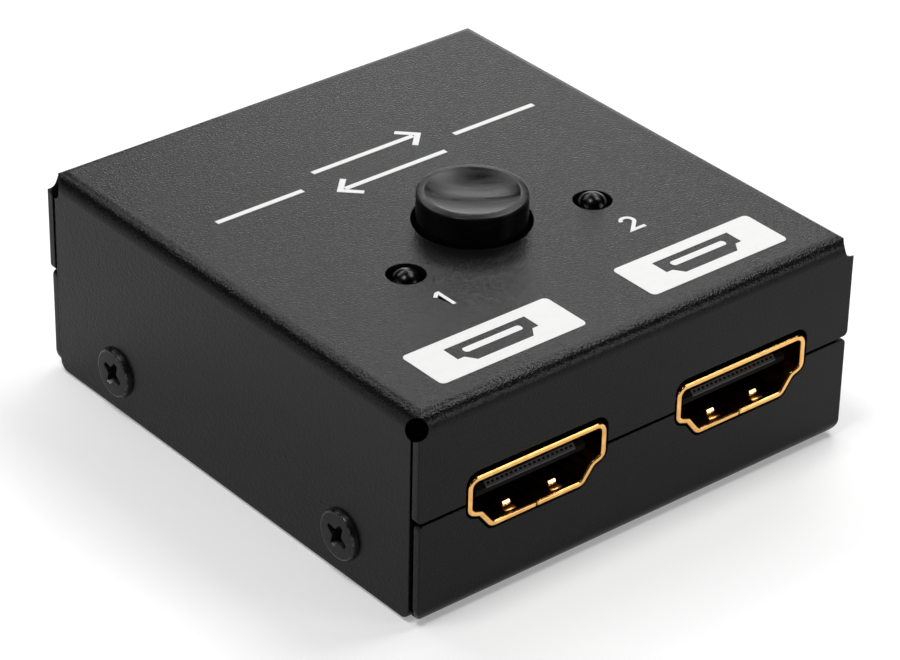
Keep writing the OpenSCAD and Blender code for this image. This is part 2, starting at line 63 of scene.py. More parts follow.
# %% Camera
camera_spot = Vector((-184.11, -219.93, 180.769)) * MM
camera_aim = Vector((-7.841, -10.174, 14.981)) * MM
camera_roll = math.radians(1.174)
film_width = 36
focal_length = 150.25


def add_object(name, data):
    thing = bpy.data.objects.new(name, data)
    bpy.context.scene.collection.objects.link(thing)
    return thing


lens = bpy.data.cameras.new("camera")
lens.sensor_width = film_width
lens.lens = focal_length
camera = add_object("camera", lens)
camera.location = camera_spot
camera_turn = (camera_aim - camera_spot).to_track_quat("-Z", "Y") @ Quaternion((0, 0, 1), camera_roll)
camera.rotation_euler = camera_turn.to_euler()
bpy.context.scene.camera = camera
print("camera stands", round((camera_aim - camera_spot).length / MM), "mm away")

# %% [markdown]
# Every finish below is a small graph of shader nodes, and three helpers keep the graphs short: one makes a
# finish with its constant sockets set, one adds a node, and one plugs results into the main shader. The
# same graphs can be drawn by hand in the shader editor, but written down they are easy to read and repeat.


# %% Helpers for shader graphs
def new_finish(name, sockets):
    finish = bpy.data.materials.new(name)
    finish.use_nodes = True
    shader = finish.node_tree.nodes["Principled BSDF"]
    for socket, value in sockets.items():
        shader.inputs[socket].default_value = value
    return finish, finish.node_tree, shader


def add_node(tree, kind, inputs, **settings):
    node = tree.nodes.new("ShaderNode" + kind)
    for name, value in settings.items():
        setattr(node, name, value)
    for name, value in inputs.items():
        if isinstance(value, bpy.types.NodeSocket):
            tree.links.new(value, node.inputs[name])
        else:
            node.inputs[name].default_value = value
    return node


def connect(tree, shader, **sockets):
    for name, value in sockets.items():
        tree.links.new(value, shader.inputs[name.replace("_", " ")])


print("graph helpers ready")

# %% [markdown]
# No real surface has one flat colour. Speckles of noise, at a size in millimetres, break it up, and three
# helpers turn them into a plain value, a colour or a height. A picture could be wrapped round each piece
# instead, but noise in the piece's own space needs no unwrapping, never stretches at a bend, and stays with
# the piece when it moves. The last helper tells how far a face looks up.


# %% Helpers for speckles
def speckles(tree, size_mm, detail=2.0, stretch=(1, 1, 1), turn=0):
    place = add_node(tree, "TexCoord", {}).outputs["Object"]
    inputs = {"Vector": place, "Scale": stretch, "Rotation": (0, 0, math.radians(turn))}
    stretched = add_node(tree, "Mapping", inputs, vector_type="TEXTURE").outputs["Vector"]
    inputs = {"Vector": stretched, "Scale": 1 / (size_mm * MM), "Detail": detail}
    return add_node(tree, "TexNoise", inputs).outputs["Fac"]


def spread(tree, value, low, high, start=0.3, end=0.7):
    inputs = {"Value": value, "From Min": start, "From Max": end, "To Min": low, "To Max": high}
    return add_node(tree, "MapRange", inputs).outputs["Result"]


def tint(tree, value, dark, light, start=0.3, end=0.7):
    ramp = add_node(tree, "ValToRGB", {"Fac": value})
    for stop, place, colour in zip(ramp.color_ramp.elements, (start, end), (dark, light)):
        stop.position = place
        stop.color = (*colour, 1)
    return ramp.outputs["Color"]


def relief(tree, height, depth_mm, under=None, strength=1.0):
    inputs = {"Height": height, "Distance": depth_mm * MM, "Strength": strength}
    if under:
        inputs["Normal"] = under
    return add_node(tree, "Bump", inputs).outputs["Normal"]


def facing_up(tree, upright, level):
    normal = add_node(tree, "NewGeometry", {}).outputs["Normal"]
    height = add_node(tree, "SeparateXYZ", {"Vector": normal}).outputs["Z"]
    return spread(tree, height, upright, level, start=0.3, end=1.0)


print("speckle helpers ready")

# %% [markdown]
# The case is coated with a sandy black powder. Close up it is a field of tiny bumps, about a fifth of a
# millimetre apart, on a slow waviness like orange peel. The powder settles coarser and thicker on the level
# top than on the upright sides, so the bumps' strength follows how far a face looks up. The gloss follows it
# too, as painted shade: upright faces reflect less, so the sides stay darker than the top. Real grains
# would take millions of faces. As a height in the finish they cost little, and at the bends they still
# catch the light one by one.


# %% Sandy coat of the case
def make_case_coat():
    finish, tree, shader = new_finish("case_coat_sand", {"IOR": 1.5})
    sand = speckles(tree, size_mm=0.2, detail=1)
    peel = speckles(tree, size_mm=0.8, detail=1)
    waviness = relief(tree, peel, depth_mm=0.004)
    coarseness = facing_up(tree, upright=0.4, level=1.0)
    connect(tree, shader,
            Base_Color=tint(tree, sand, (0.0033, 0.0033, 0.0036), (0.0073, 0.0073, 0.0077)),
            Roughness=spread(tree, peel, 0.22, 0.27),
            # Less gloss on upright faces: painted shade that keeps the sides darker than the top.
            Specular_IOR_Level=facing_up(tree, upright=0.115, level=0.167),
            Normal=relief(tree, sand, depth_mm=0.06, under=waviness, strength=coarseness))
    return finish


case_coat = make_case_coat()
print("finish:", case_coat.name)

# %% [markdown]
# Most pieces below are new meshes that stand in for a node of the frame. Such a piece rides on a body, the
# case or the button, so it moves with that body, and the nodes it stands in for are hidden. The same few
# lines could follow every piece, but one helper can't forget a line. Another helper shades a mesh smoothly
# and keeps an edge only where two faces meet at a clear angle.


# %% Helpers for pieces
def stand_in(name, mesh, body, finish, slot, *nodes):
    piece = add_object(name, mesh)
    if not mesh.materials:
        mesh.materials.append(finish)
    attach(piece, body)
    if nodes:
        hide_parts(*nodes)
    return piece


def to_mesh(name, bm):
    mesh = bpy.data.meshes.new(name)
    bm.to_mesh(mesh)
    bm.free()
    return mesh


def smooth(mesh, keep_degrees=40):
    for face in mesh.polygons:
        face.use_smooth = True
    mesh.set_sharp_from_angle(angle=math.radians(keep_degrees))


print("piece helpers ready")

# %% [markdown]
# A folded sheet has no knife edges: shearing and coating leave each one slightly round, and that thin
# roundness is what makes an edge visible. The frame's nodes have sharp edges, so a visible node is copied,
# its flat triangles are joined into whole faces, and its sharp edges get a narrow bevel. A bevel modifier
# would do this too, but here every point that strays from the old surface can be pulled back to it. The copy
# then stands in for the node, at the same place.

# %% Round the edges of a frame node
touch = 0.001 * MM
mouth_band = 0.01 * MM
flat_degrees = 0.2
sharp_degrees = 32
edge_steps = 2
rim_steps = 4


def sharp_edges(bm):
    limit = math.radians(sharp_degrees)
    return [edge for edge in bm.edges if edge.is_manifold and edge.calc_face_angle() > limit]


def mouth_edges(bm):
    mouth = max(abs(vert.co.y) for vert in bm.verts)
    return [edge for edge in sharp_edges(bm)
            if all(mouth - abs(vert.co.y) < mouth_band for vert in edge.verts)]


def bevel(bm, edges, width_mm, steps):
    bmesh.ops.bevel(bm, geom=edges, offset=width_mm * MM, offset_type="OFFSET", segments=steps,
                    profile=0.5, affect="EDGES", clamp_overlap=False)


def keep_close(bm, skin, reach_mm):
    for vert in bm.verts:
        spot, normal, _, distance = skin.find_nearest(vert.co)
        if distance > reach_mm * MM or (vert.co - spot).dot(normal) > touch:
            vert.co = spot


def round_edges(node, width_mm, finish, slot, rim_mm=0):
    bm = bmesh.new()
    bm.from_mesh(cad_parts[node].data)
    bmesh.ops.remove_doubles(bm, verts=bm.verts, dist=touch)
    bmesh.ops.dissolve_limit(bm, angle_limit=math.radians(flat_degrees), verts=bm.verts, edges=bm.edges)
    skin = BVHTree.FromBMesh(bm)
    count = len(sharp_edges(bm))
    if rim_mm:
        bevel(bm, mouth_edges(bm), rim_mm, rim_steps)
    bevel(bm, sharp_edges(bm), width_mm, edge_steps)
    keep_close(bm, skin, max(width_mm, rim_mm))
    mesh = to_mesh(node + "_rounded", bm)
    if "custom_normal" in mesh.attributes:
        mesh.attributes.remove(mesh.attributes["custom_normal"])
    smooth(mesh)
    piece = stand_in(node + "_rounded", mesh, "case", finish, slot, node)
    piece.modifiers.new("flat_faces", "WEIGHTED_NORMAL").keep_sharp = True
    print(node, "has", count, "rounded edges")
    return piece


print("edges under", sharp_degrees, "degrees stay as they are")

# %% [markdown]
# Two folded sheets make the case: a cover with the top, both long sides and the upper half of the ends, and a
# tray with the floor and the lower half of the ends. They could be folded anew out of flat sheets, but the
# frame's nodes already have every bend and hole, so only their edges change.

# %% Cover and tray
sheet_edge = 0.1
for node in ("top_cover", "bottom_tray"):
    round_edges(node, sheet_edge, case_coat, "case_coat")

# %% [markdown]
# The sockets are stamped from thin brass and gold plated. Plating follows the sheet below it, so the metal
# is not a mirror: fine drawing lines run along the socket, and the colour deepens a little in patches. One
# plain gold would look cast. Stretching the noise along the depth of the socket gives the lines.


# %% Gold plating
def make_plating(name, dark, light, roughness, waves=0.02):
    finish, tree, shader = new_finish(name, {"Metallic": 1.0})
    lines = speckles(tree, size_mm=0.12, stretch=(1, 20, 1))
    patches = speckles(tree, size_mm=1.1)
    connect(tree, shader,
            Base_Color=tint(tree, patches, dark, light),
            Roughness=spread(tree, lines, roughness - 0.03, roughness + 0.04),
            Normal=relief(tree, patches, waves))
    return finish


port_gold = make_plating("port_gold_plating", (0.75, 0.375, 0.11), (0.88, 0.52, 0.18), roughness=0.15)
# A near-black gold for the shells' outsides: painted shade for the case's shadow in the gap round each
# socket.
shell_painted_shade = make_plating("shell_outside_painted_shade", (0.030, 0.024, 0.016), (0.045, 0.036, 0.024), roughness=0.5)
print("finishes:", port_gold.name, "and", shell_painted_shade.name)

# %% [markdown]
# Each socket shell shows a bright round rim at its mouth and gold inside. Its outside lies in the narrow gap
# to the case, in shadow, and clean gold there would draw a second line round the socket. So the faces that
# look outward, apart from the rim, get a near-black gold: painted shade for the case's shadow. Two shells,
# one inside the other, would do the same with twice the faces.

# %% Socket shells
ports = ("1", "2", "common")
core_low, core_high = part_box("port_insulator_1")
port_middle_z = (core_low.z + core_high.z) / 2 / MM
shell_edge = 0.04
mouth_edge = 0.17
rim_depth = 0.6


def mesh_box(mesh):
    spots = [vert.co for vert in mesh.vertices]
    return [Vector([pick(spot[axis] for spot in spots) for axis in range(3)]) for pick in (min, max)]


# Outward faces behind the rim get the near-black gold: painted shade.
def paint_shade_outside(piece):
    mesh = piece.data
    mesh.materials.append(shell_painted_shade)
    shade_index = len(mesh.materials) - 1
    low, high = [corner / MM for corner in mesh_box(mesh)]
    middle = Vector(((low.x + high.x) / 2, 0, port_middle_z))
    mouth = max(abs(low.y), abs(high.y))
    for face in mesh.polygons:
        spot = face.center / MM
        outward = (spot - middle) * Vector((1, 0, 1))
        if face.normal.dot(outward) > 0 and abs(spot.y) < mouth - rim_depth:
            face.material_index = shade_index


for port in ports:
    paint_shade_outside(round_edges("port_shell_" + port, shell_edge, port_gold, "port_gold", mouth_edge))

# %% [markdown]
# Each socket has a black core with a tongue that carries the contacts. Moulded plastic has a faint sheen and
# a very fine texture left by the tool. The same recipe, with other numbers, serves the combs on the tongues
# and the push switch. One finish for all would be simpler, but the cores lie deep in the sockets, in shade,
# so their finish is painted shade: a darker black than the other plastic, almost without gloss.


# %% Socket cores
def make_plastic(name, dark, light, roughness, texture_mm, depth_mm, gloss=0.5):
    finish, tree, shader = new_finish(name, {"IOR": 1.5, "Specular IOR Level": gloss})
    texture = speckles(tree, texture_mm)
    flow = speckles(tree, size_mm=3.0, detail=1)
    connect(tree, shader,
            Base_Color=tint(tree, flow, dark, light),
            Roughness=spread(tree, flow, roughness - 0.04, roughness + 0.04),
            Normal=relief(tree, texture, depth_mm))
    return finish


# Darker than the other black plastic and almost without gloss: painted shade for the depth of the sockets.
core_painted_shade = make_plastic("core_plastic_painted_shade", (0.001, 0.001, 0.0012), (0.002, 0.002, 0.0022),
                            roughness=0.55, texture_mm=0.1, depth_mm=0.003, gloss=0.06)
core_edge = 0.04
for port in ports:
    round_edges("port_insulator_" + port, core_edge, core_painted_shade, "black_plastic")

# %% [markdown]
# Small straight parts inside the sockets are prisms: a side view, drawn with depth and height, is pulled
# from left to right. A curve with a thickness would do it too, but a few points and faces made directly have
# no settings to keep in mind. All prisms of one part share a mesh.


# %% Helpers for prisms
def prism(bm, side, left, right):
    ends = [[bm.verts.new(Vector((x, depth, height)) * MM) for depth, height in side] for x in (left, right)]
    for k in range(len(side)):
        follow = (k + 1) % len(side)
        bm.faces.new((ends[0][k], ends[1][k], ends[1][follow], ends[0][follow]))
    bm.faces.new(ends[0])
    bm.faces.new(reversed(ends[1]))


def prisms_mesh(name, prisms):
    bm = bmesh.new()
    for side, left, right in prisms:
        prism(bm, side, left, right)
    bmesh.ops.recalc_face_normals(bm, faces=bm.faces)
    return to_mesh(name, bm)


print("prism helpers ready")

# %% [markdown]
# Along the front edge of each tongue runs a comb that keeps the contacts apart: two rails, with a rung
# beside every contact and a dark slot between the rungs. It could be cut into the tongue, but thin strips
# laid on its bevelled edge look the same and stay simple. Their grey, far lighter than the black core, is a
# painted sheen for the light that the bevel catches. The slots stand at half the contacts' spacing, because
# the upper and the lower row alternate.

# %% Contact combs on the tongues
tongue_back = (core_low.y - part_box("port_shell_1")[0].y) / MM
tongue_chamfer = 0.35
tongue_top = 0.95
comb_proud = 0.03
low_rail = 0.35
high_rail = 0.8
rail_drop = 0.1
comb_pitch = 0.5
comb_slots = 19
rung_width = 0.2


def on_chamfer(share, proud):
    depth = tongue_back + tongue_chamfer * share
    height = tongue_top - tongue_chamfer * (1 - share)
    return depth - proud, height + proud


def chamfer_strip(start, end):
    return (on_chamfer(start, comb_proud), on_chamfer(end, comb_proud),
            on_chamfer(end, -comb_proud), on_chamfer(start, -comb_proud))


def comb_prisms():
    foot = tongue_top - tongue_chamfer - rail_drop
    lower = ((tongue_back - comb_proud, foot), *chamfer_strip(0, low_rail)[:3],
             (tongue_back + comb_proud, foot))
    reach = (comb_slots * comb_pitch + rung_width) / 2
    prisms = [(lower, -reach, reach), (chamfer_strip(high_rail, 1), -reach, reach)]
    for k in range(comb_slots + 1):
        left = k * comb_pitch - reach
        prisms.append((chamfer_strip(low_rail, high_rail), left, left + rung_width))
    return prisms


# A grey far lighter than the black core: painted sheen for the light on the tongue's bevel.
comb_painted_sheen = make_plastic("comb_plastic_painted_sheen", (0.033, 0.036, 0.042), (0.052, 0.056, 0.065),
                            roughness=0.45, texture_mm=0.08, depth_mm=0.002, gloss=0.3)
comb = comb_prisms()
print("a comb of", len(comb), "prisms with", comb_slots, "slots")

# %% [markdown]
# In the floor of each socket two sprung fingers have a hump that presses on the plug. On the real socket it
# is pressed into the sheet. Here it stands in front of the frame's plain dimple as a prism with a slightly
# undercut front. Its flat faces mirror the light as one small clear spot, and a rounded hump would look
# like a ball.

# %% Humps on the sprung fingers
finger_x = 2.5
hump_half = 0.38
hump_side = ((1.14, -2.09), (1.05, -1.95), (1.21, -1.75), (1.65, -1.73), (2.0, -2.09))
humps = [(hump_side, x - hump_half, x + hump_half) for x in (-finger_x, finger_x)]
finger_gold = make_plating("finger_gold_plating", (0.90, 0.56, 0.24), (0.95, 0.62, 0.28),
                           roughness=0.15, waves=0.002)
print("humps", hump_half * 2, "mm wide")

# %% [markdown]
# Combs and humps are the same in all three sockets. Copies could share a mesh and be moved as objects, but
# here every mesh is carried to its place, as in the frame. The parts are drawn for a socket that looks to the
# front, with its mouth at zero depth, so for the socket behind they are turned round.


# %% Combs and humps in the sockets
def port_place(port):
    low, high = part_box("port_shell_" + port)
    rear = high.y > 0
    spot = Vector(((low.x + high.x) / 2, high.y if rear else low.y, port_middle_z * MM))
    return Matrix.Translation(spot) @ Matrix.Rotation(math.pi if rear else 0, 4, "Z")


def put_in_port(port, name, prisms, finish, slot):
    mesh = prisms_mesh(name + port, prisms)
    mesh.transform(port_place(port))
    stand_in(name + port, mesh, "case", finish, slot)


for port in ports:
    put_in_port(port, "contact_comb_", comb, comb_painted_sheen, "black_plastic")
    put_in_port(port, "finger_humps_", humps, finger_gold, "port_gold")
print("sockets fitted:", len(ports))

# %% [markdown]
# The round pieces are made as on a lathe: one half of an outline, from the axis out and back to the axis, is
# swept round. Blender's screw modifier does the same. With plain loops the points stay at hand for arcs and
# steps, and each end on the axis is a single point.

# %% Lathe helpers
on_axis = 1e-6


def arc(middle, radius, start, end, steps):
    angles = [math.radians(start + (end - start) * k / steps) for k in range(steps + 1)]
    return [(middle[0] + radius * math.cos(angle), middle[1] + radius * math.sin(angle)) for angle in angles]


def turned(name, outline, steps):
    bm = bmesh.new()
    rings = []
    for radius, height in outline:
        count = steps if radius > on_axis else 1
        turn = 2 * math.pi / count
        ring = [Vector((radius * math.cos(k * turn), radius * math.sin(k * turn), height))
                for k in range(count)]
        rings.append([bm.verts.new(spot * MM) for spot in ring])
    for ring, follow in zip(rings, rings[1:]):
        for k in range(steps):
            corners = [ring[k % len(ring)], ring[(k + 1) % len(ring)],
                       follow[(k + 1) % len(follow)], follow[k % len(follow)]]
            bm.faces.new(list(dict.fromkeys(corners)))
    bmesh.ops.recalc_face_normals(bm, faces=bm.faces)
    mesh = to_mesh(name, bm)
    smooth(mesh)
    return mesh


def foot_of(node):
    low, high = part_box(node)
    return Matrix.Translation(((low.x + high.x) / 2, (low.y + high.y) / 2, low.z))


print("lathe ready")

# %% [markdown]
# The push button is a glossy black moulding with a shallow dish for the fingertip. One value for the gloss
# would suit a new button. Fingers leave a haze of soft streaks on a used one, and without it the dish would
# mirror the panels with hard edges.


# %% Gloss of the button
def make_button_gloss():
    finish, tree, shader = new_finish("button_gloss_black", {"IOR": 1.5, "Specular IOR Level": 0.15})
    haze = speckles(tree, size_mm=1.2, detail=3, stretch=(3, 1, 1), turn=-40)
    dust = speckles(tree, size_mm=0.12)
    grit = relief(tree, dust, depth_mm=0.0012)
    connect(tree, shader,
            Base_Color=tint(tree, dust, (0.002, 0.002, 0.0023), (0.004, 0.004, 0.0043)),
            Roughness=spread(tree, haze, 0.15, 0.30),
            Normal=relief(tree, haze, depth_mm=0.018, under=grit))
    return finish


button_gloss = make_button_gloss()
print("finish:", button_gloss.name)

# %% [markdown]
# The cap is a lathe form, because every section through its axis is the same. A cylinder with a ball cut out
# of it would give the dish, but a drawn outline has room for more: a small step sets the dish off from the
# ring round it, and the ring falls slightly to the outside. Underneath the cap is hollow, with a socket for
# the stem.

# %% Push button
cap_low, cap_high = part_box("button_cap")
cap_radius = (cap_high.x - cap_low.x) / 2 / MM
cap_height = (cap_high.z - cap_low.z) / MM
cap_fillet = 0.15
cap_wall = 1.0
cap_roof = 3.85
skirt_edge = 0.15
dish_radius = 4.2
dish_depth = 0.47
dish_step = 0.04
dish_wall = 0.12
ring_fall = 0.1
post_outer = 2.96
post_inner = 2.3


def button_outline():
    bowl = dish_radius - dish_wall
    sag = dish_depth - dish_step
    ball = (bowl ** 2 + sag ** 2) / (2 * sag)
    sweep = math.degrees(math.asin(bowl / ball))
    dish = arc((0, cap_height - dish_depth + ball), ball, -90, -90 + sweep, steps=16)
    ring = [(dish_radius, cap_height), (dish_radius + dish_wall, cap_height)]
    edge = arc((cap_radius - cap_fillet, cap_height - ring_fall - cap_fillet), cap_fillet, 90, 0, steps=8)
    skirt = [(cap_radius, skirt_edge), (cap_radius - skirt_edge, 0), (cap_radius - cap_wall, 0),
             (cap_radius - cap_wall, cap_roof), (post_outer, cap_roof), (post_outer, 0), (post_inner, 0),
             (post_inner, cap_roof), (0, cap_roof)]
    return dish + ring + edge + skirt


button_mesh = turned("push_button", button_outline(), steps=128)
button_mesh.transform(foot_of("button_cap"))
stand_in("push_button", button_mesh, "button", button_gloss, "button_gloss", "button_cap")
print("button", round(cap_radius * 2, 2), "mm across and", round(cap_height, 2), "mm long")

# %% [markdown]
# The indicators are small smoky domes that look black while unlit, because what is under them is dark. A
# black ball would look painted. A dark clear plastic over a tiny metal cup gives real depth, and its surface
# is slightly frosted, so the panels round the box melt into one soft highlight.


# %% Finishes of the indicators
def make_lens():
    finish, tree, shader = new_finish("indicator_lens_smoke", {"IOR": 1.3, "Transmission Weight": 1.0})
    haze = speckles(tree, size_mm=0.8)
    connect(tree, shader,
            Base_Color=tint(tree, haze, (0.005, 0.005, 0.006), (0.010, 0.010, 0.011)),
            Roughness=spread(tree, haze, 0.2, 0.28))
    return finish


def make_bare_metal(name, dark, light, roughness, start=0.3, end=0.7):
    finish, tree, shader = new_finish(name, {"Metallic": 1.0})
    brushed = speckles(tree, size_mm=0.25, detail=3)
    connect(tree, shader,
            Base_Color=tint(tree, brushed, dark, light, start, end),
            Roughness=spread(tree, brushed, roughness - 0.06, roughness + 0.08),
            Normal=relief(tree, brushed, depth_mm=0.002))
    return finish


indicator_lens = make_lens()
tinned_metal = make_bare_metal("tinned_metal", (0.55, 0.55, 0.56), (0.74, 0.74, 0.75), roughness=0.3)
print("finishes:", indicator_lens.name, "and", tinned_metal.name)

# %% [markdown]
# Dome and cup are lathe forms too. Half a ball would do for the part that shows, but then nothing would be
# seen through it. The dome's width and length come from the frame, and its foot has a wide rim, which holds
# it under the cover's hole.

# %% Indicators
dome_radius = 1.5
rim_height = 1.0
rim_edge = 0.1
cup_outline = [(0, 0.4), (0.3, 0.4), (0.3, 2.3), (0.75, 2.5), (0.75, 3.0), (0.65, 3.0), (0.35, 2.65),
               (0, 2.65)]


def dome_outline(rim, length):
    foot = [(0, 0), (rim - rim_edge, 0), (rim, rim_edge), (rim, rim_height - rim_edge),
            (rim - rim_edge, rim_height), (dome_radius, rim_height)]
    return foot + arc((0, length - dome_radius), dome_radius, 0, 90, steps=14)


for number in ("1", "2"):
    node = "led_%s_lens" % number
    low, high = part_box(node)
    outline = dome_outline((high.x - low.x) / 2 / MM, (high.z - low.z) / MM)
    dome_mesh = turned("indicator_dome_" + number, outline, steps=64)
    dome_mesh.transform(foot_of(node))
    stand_in("indicator_dome_" + number, dome_mesh, "case", indicator_lens, "indicator_lens", node)
    cup_mesh = turned("indicator_cup_" + number, cup_outline, steps=32)
    cup_mesh.transform(foot_of(node))
    stand_in("indicator_cup_" + number, cup_mesh, "case", tinned_metal, "tinned_metal")
    print("indicator", number, "is", round((high.z - low.z) / MM, 2), "mm long")

# %% [markdown]
# The case screws are black, but drivers and hands have been at them. Inside the recess the driver has scuffed
# through to the metal, and handling has worn the head's edge, which draws a thin line there. One finish
# could mix all three by place, but three plain finishes on their own faces are easier to follow.


# %% Finishes of the screws
def make_screw_black():
    finish, tree, shader = new_finish("screw_black_oxide", {"Specular IOR Level": 0.13, "IOR": 1.5})
    sheen = speckles(tree, size_mm=0.35, detail=3)
    connect(tree, shader,
            Base_Color=tint(tree, sheen, (0.005, 0.005, 0.0055), (0.013, 0.013, 0.0135)),
            Roughness=spread(tree, sheen, 0.26, 0.42),
            Normal=relief(tree, sheen, depth_mm=0.006))
    return finish


def make_screw_scuffed():
    finish, tree, shader = new_finish("screw_black_scuffed", {"IOR": 1.5})
    scuffs = speckles(tree, size_mm=0.14, detail=3)
    connect(tree, shader,
            Base_Color=tint(tree, scuffs, (0.006, 0.006, 0.007), (0.30, 0.29, 0.28), start=0.6, end=0.7),
            Metallic=spread(tree, scuffs, 0, 1, start=0.6, end=0.68),
            Roughness=spread(tree, scuffs, 0.4, 0.25))
    return finish


screw_black = make_screw_black()
screw_scuffed = make_screw_scuffed()
screw_worn = make_bare_metal("screw_edge_worn", (0.012, 0.012, 0.012), (0.08, 0.077, 0.074),
                             roughness=0.3, start=0.35, end=0.75)
print("finishes:", screw_black.name, screw_scuffed.name, screw_worn.name)

# %% [markdown]
# The heads have a cross-shaped recess that narrows as it goes down. It could be modelled face by face, but
# cutting a tapered four-armed star out of the head gives crisp edges, and the cut faces keep the star's own
# finish, so the scuffs show only inside. The star reaches a little above the head, for a clean cut.

# %% Star for the recess
cover_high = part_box("top_cover")[1]
screws_low, screws_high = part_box("case_screws")
head_radius = (screws_high.z - screws_low.z) / 2 / MM
head_height = (screws_high.x - cover_high.x) / MM
recess_turn = 63
recess_reach = 1.3
recess_arm = 0.24
recess_core = 0.46
recess_floor = -0.7
floor_share = 0.7
star_above = 0.3
above_share = 1.08


def recess_star():
    quarter = ((recess_reach, -recess_arm), (recess_reach, recess_arm), (recess_core, recess_core))
    turns = [Matrix.Rotation(math.radians(recess_turn + 90 * k), 2) for k in range(4)]
    return [turn @ Vector(spot) for turn in turns for spot in quarter]


def recess_cutter(finish):
    star = recess_star()
    levels = ((recess_floor, floor_share), (head_height, 1.0), (head_height + star_above, above_share))
    bm = bmesh.new()
    rings = []
    for height, share in levels:
        rings.append([bm.verts.new(Vector((spot.x * share, spot.y * share, height)) * MM) for spot in star])
    for below, above in zip(rings, rings[1:]):
        for k in range(len(star)):
            follow = (k + 1) % len(star)
            bm.faces.new((below[k], below[follow], above[follow], above[k]))
    bm.faces.new(reversed(rings[0]))
    bm.faces.new(rings[-1])
    mesh = to_mesh("recess_cutter", bm)
    mesh.materials.append(finish)
    return add_object("recess_cutter", mesh)


print("screw heads", round(head_radius * 2, 2), "mm across and", round(head_height, 2), "mm high")

# %% [markdown]
# A screw is a lathe form with a low head, a sloping rim and a plain shank. A thread would never be seen. The
# star is taken out of it with a boolean modifier, and the finished mesh is read back from the modifier.

# %% One case screw
head_fillet = 0.2
head_slope = 0.12
head_foot = 0.05
worn_share = 0.7
shank_radius = 1.5
shank_length = 4.0
tip_share = 0.6
tip_length = 0.4


def read_back(thing):
    depsgraph = bpy.context.evaluated_depsgraph_get()
    mesh = bpy.data.meshes.new_from_object(thing.evaluated_get(depsgraph))
    bpy.data.objects.remove(thing)
    return mesh


def screw_outline(face):
    shank = [(0, -shank_length), (shank_radius * tip_share, -shank_length),
             (shank_radius, tip_length - shank_length), (shank_radius, 0)]
    edge = arc((face - head_fillet, head_height - head_fillet), head_fillet, 15, 90, steps=8)
    return shank + [(head_radius, 0), (head_radius, head_foot)] + edge + [(0, head_height)]


def screw_mesh(black, scuffed, worn):
    face = head_radius - head_slope
    blank = add_object("screw_blank", turned("screw_blank", screw_outline(face), steps=72))
    blank.data.materials.append(black)
    blank.data.materials.append(scuffed)
    cutter = recess_cutter(scuffed)
    cut = blank.modifiers.new("recess", "BOOLEAN")
    cut.operation = "DIFFERENCE"
    cut.solver = "EXACT"
    cut.material_mode = "TRANSFER"
    cut.object = cutter
    mesh = read_back(blank)
    bpy.data.objects.remove(cutter)
    mesh.materials.append(worn)
    bare = len(mesh.materials) - 1
    for side in mesh.polygons:
        spot = side.center / MM
        if spot.xy.length > face - head_fillet and spot.z > head_height - head_fillet * worn_share:
            side.material_index = bare
    return mesh


one_screw = screw_mesh(screw_black, screw_scuffed, screw_worn)
print("a screw with", len(one_screw.polygons), "faces")

# %% [markdown]
# Four screws hold the cover, two on each side. Four objects could share one mesh, but the frame keeps the
# screws in one node, so turned copies are joined into one mesh that stands in for it. Their places come from
# that node's box.

# %% Four case screws
screw_y = screws_high.y / MM - head_radius
screw_z = (screws_low.z + screws_high.z) / 2 / MM


def joined(name, meshes):
    bm = bmesh.new()
    for mesh in meshes:
        bm.from_mesh(mesh)
    whole = to_mesh(name, bm)
    for finish in meshes[0].materials:
        whole.materials.append(finish)
    return whole


screws = []
for side in (-1, 1):
    for y in (-screw_y, screw_y):
        screw = one_screw.copy()
        spot = Vector((cover_high.x * side, y * MM, screw_z * MM))
        screw.transform(Matrix.Translation(spot) @ Matrix.Rotation(math.radians(90 * side), 4, "Y"))
        screws.append(screw)
screw_set = joined("case_screw_set", screws)
smooth(screw_set, keep_degrees=25)
stand_in("case_screw_set", screw_set, "case", screw_black, "screw_black", "case_screws")
print("screws:", len(screws))

# %% [markdown]
# The pieces inside hardly show, but they are there when the case is taken apart or looked into through a
# socket. New meshes for them would be wasted, so each frame node keeps its shape and gets a finish of its
# own: lacquered board, gold contacts, tinned leads, bright steel, and the small parts round the chip.


# %% Finishes of the inner pieces
def make_board_lacquer():
    finish, tree, shader = new_finish("board_green_lacquer", {"IOR": 1.5})
    weave = speckles(tree, size_mm=0.5, detail=3)
    connect(tree, shader,
            Base_Color=tint(tree, weave, (0.008, 0.075, 0.03), (0.014, 0.115, 0.048)),
            Roughness=spread(tree, weave, 0.25, 0.4),
            Normal=relief(tree, weave, depth_mm=0.008))
    return finish


board_lacquer = make_board_lacquer()
contact_gold = make_plating("contact_gold_plating", (0.83, 0.52, 0.18), (0.92, 0.62, 0.26), roughness=0.2)
bright_steel = make_bare_metal("bright_steel", (0.50, 0.50, 0.51), (0.64, 0.64, 0.66), roughness=0.28)
black_plastic = make_plastic("black_plastic_moulded", (0.004, 0.004, 0.0045), (0.008, 0.008, 0.0085),
                             roughness=0.4, texture_mm=0.1, depth_mm=0.003)
white_plastic = make_plastic("white_plastic_moulded", (0.68, 0.67, 0.62), (0.76, 0.75, 0.70),
                             roughness=0.38, texture_mm=0.2, depth_mm=0.003)
chip_black = make_plastic("chip_black_resin", (0.008, 0.008, 0.009), (0.016, 0.016, 0.017),
                          roughness=0.55, texture_mm=0.12, depth_mm=0.004)
capacitor_tan = make_plastic("capacitor_tan_ceramic", (0.30, 0.20, 0.10), (0.42, 0.29, 0.15),
                             roughness=0.5, texture_mm=0.1, depth_mm=0.003)
